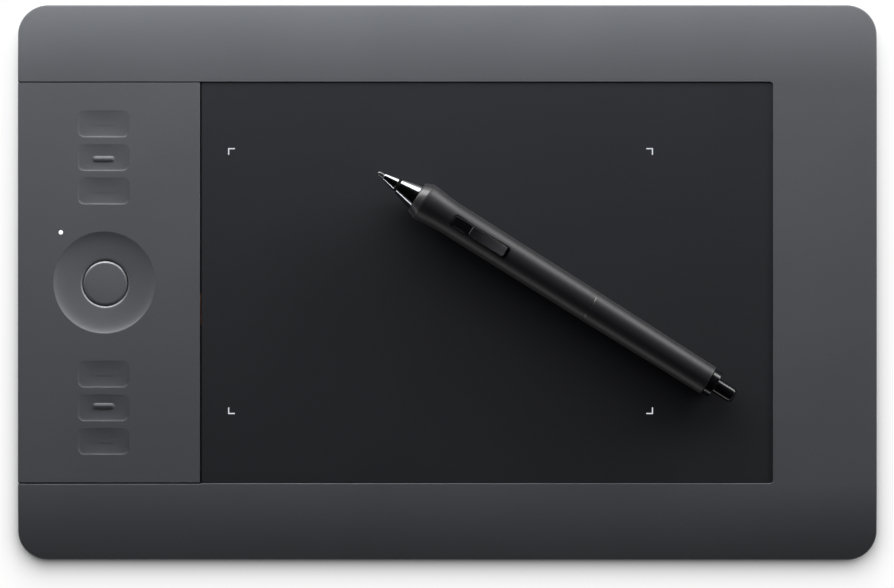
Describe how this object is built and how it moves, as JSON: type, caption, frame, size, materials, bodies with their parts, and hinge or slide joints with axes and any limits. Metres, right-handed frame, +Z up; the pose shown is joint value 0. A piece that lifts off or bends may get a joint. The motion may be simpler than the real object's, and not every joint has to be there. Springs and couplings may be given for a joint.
{
  "type": "graphics tablet",
  "caption": "Flat pen tablet with a dark drawing surface, left control panel with shortcut keys and touch ring, curved bezel bands, and its pen lying on the surface.",
  "frame": {"origin": "centre of the tablet's plan, on the plane that its rubber feet stand on", "axes": "+X to the right margin, +Y to the rear edge, +Z up out of the drawing surface"},
  "size_m": [0.32, 0.207, 0.0263],
  "materials": {
    "case_satin": "satin dark grey moulded plastic",
    "key_satin": "satin dark grey moulded plastic",
    "button_satin": "satin dark grey moulded plastic",
    "drawing_surface": "finely textured near-black sheet",
    "lit_mark": "white lit window",
    "clear_guide": "clear acrylic",
    "underside_plastic": "fine matte black moulded plastic",
    "foot_rubber": "matte rubber",
    "switch_black": "matte black",
    "plated_steel": "plated steel",
    "screw_steel": "zinc plated steel",
    "circuit_board": "solder mask",
    "polyimide_film": "amber film",
    "component_black": "moulded epoxy",
    "led_body": "white package",
    "contact_gold": "gilt contacts in a black block",
    "shield_aluminium": "plain sheet",
    "nose_chrome": "polished",
    "ring_black": "black",
    "soft_grip": "soft-touch coat over moulded barrel",
    "gloss_black": "polished black",
    "surround_black": "black",
    "pad_gloss": "polished black",
    "pad_brushed": "brushed grey",
    "rocker_black": "matte black",
    "nib_grey": "grey acetal",
    "ferrite": "sintered",
    "copper_coil": "enamelled copper",
    "tray_plastic": "moulded"
  },
  "bodies": {
    "tablet": {"top_cover": "case_satin", "surface_sheet": "drawing_surface", "corner_marks": "lit_mark", "corner_leds": "led_body", "touch_film": "polyimide_film", "pen_sensor_board": "circuit_board", "shield_plate": "shield_aluminium", "control_panel": "case_satin", "ring_electrode": "circuit_board", "key_board": "circuit_board", "key_domes": "component_black", "ring_leds": "led_body", "light_pipes": "clear_guide", "status_light": "lit_mark", "hidden_lights": "case_satin", "usb_socket": "plated_steel", "power_switch": "switch_black", "main_board": "circuit_board", "controller_chips": "component_black", "ribbon_connectors": "component_black", "key_ribbon": "polyimide_film", "sensor_ribbon": "polyimide_film", "battery_contacts": "contact_gold", "module_plug": "component_black", "case_screws": "screw_steel", "board_screws": "screw_steel", "bottom_cover": "underside_plastic", "compartment_tub": "underside_plastic", "rubber_feet": "foot_rubber"},
    "key_1": {"shortcut_key_1": "key_satin"},
    "key_2": {"shortcut_key_2": "key_satin"},
    "key_3": {"shortcut_key_3": "key_satin"},
    "key_4": {"shortcut_key_4": "key_satin"},
    "key_5": {"shortcut_key_5": "key_satin"},
    "key_6": {"shortcut_key_6": "key_satin"},
    "ring_button": {"ring_button": "button_satin"},
    "power_slider": {"power_slider": "switch_black"},
    "compartment_cover": {"compartment_cover": "underside_plastic"},
    "pen": {"pen_nose_tip": "nose_chrome", "pen_nose_ring": "ring_black", "pen_nose_cone": "nose_chrome", "pen_front_barrel": "soft_grip", "pen_rear_barrel": "soft_grip", "pen_tail_collar": "gloss_black", "pen_switch_surround": "surround_black", "pen_ferrite_core": "ferrite", "pen_coil": "copper_coil", "pen_tip_sensor": "component_black", "pen_eraser_sensor": "component_black", "pen_tray": "tray_plastic", "pen_board": "circuit_board", "pen_switch_domes": "component_black"},
    "pen_nib": {"pen_nib": "nib_grey"},
    "pen_eraser": {"pen_eraser": "gloss_black"},
    "pen_switch": {"pen_switch_rocker": "rocker_black", "pen_front_pad": "pad_gloss", "pen_rear_pad": "pad_brushed"}
  },
  "joints": [
    {"name": "key_1_press", "type": "slide", "parent": "tablet", "child": "key_1", "axis": [0, 0, -1], "range_m": [0, 0.0004], "stiffness_N_per_m": 2000, "springref_m": -0.0003},
    {"name": "key_2_press", "type": "slide", "parent": "tablet", "child": "key_2", "axis": [0, 0, -1], "range_m": [0, 0.0004], "stiffness_N_per_m": 2000, "springref_m": -0.0003},
    {"name": "key_3_press", "type": "slide", "parent": "tablet", "child": "key_3", "axis": [0, 0, -1], "range_m": [0, 0.0004], "stiffness_N_per_m": 2000, "springref_m": -0.0003},
    {"name": "key_4_press", "type": "slide", "parent": "tablet", "child": "key_4", "axis": [0, 0, -1], "range_m": [0, 0.0004], "stiffness_N_per_m": 2000, "springref_m": -0.0003},
    {"name": "key_5_press", "type": "slide", "parent": "tablet", "child": "key_5", "axis": [0, 0, -1], "range_m": [0, 0.0004], "stiffness_N_per_m": 2000, "springref_m": -0.0003},
    {"name": "key_6_press", "type": "slide", "parent": "tablet", "child": "key_6", "axis": [0, 0, -1], "range_m": [0, 0.0004], "stiffness_N_per_m": 2000, "springref_m": -0.0003},
    {"name": "ring_button_press", "type": "slide", "parent": "tablet", "child": "ring_button", "axis": [0, 0, -1], "range_m": [0, 0.0004], "stiffness_N_per_m": 2000, "springref_m": -0.0003},
    {"name": "power_slide", "type": "slide", "parent": "tablet", "child": "power_slider", "axis": [0, 1, 0], "range_m": [0, 0.003]},
    {"name": "compartment_cover_slide", "type": "slide", "parent": "tablet", "child": "compartment_cover", "axis": [0, 1, 0], "range_m": [0, 0.065]},
    {"name": "pen_lift", "type": "slide", "parent": "tablet", "child": "pen", "axis": [0, 0, 1], "range_m": [0, 0.04]},
    {"name": "pen_nib_press", "type": "slide", "parent": "pen", "child": "pen_nib", "axis": [0.8461, -0.5328, -0.0132], "range_m": [0, 0.0005], "stiffness_N_per_m": 1500, "springref_m": -0.0003},
    {"name": "pen_eraser_press", "type": "slide", "parent": "pen", "child": "pen_eraser", "axis": [-0.8461, 0.5328, 0.0132], "range_m": [0, 0.001], "stiffness_N_per_m": 1200, "springref_m": -0.0005},
    {"name": "pen_switch_rock", "type": "hinge", "parent": "pen", "child": "pen_switch", "pos_m": [0.01185, 0.01718, 0.02338], "axis": [0.5329, 0.8462, 0], "range_deg": [-2.5, 2.5], "stiffness_Nm_per_rad": 0.25}
  ]
}
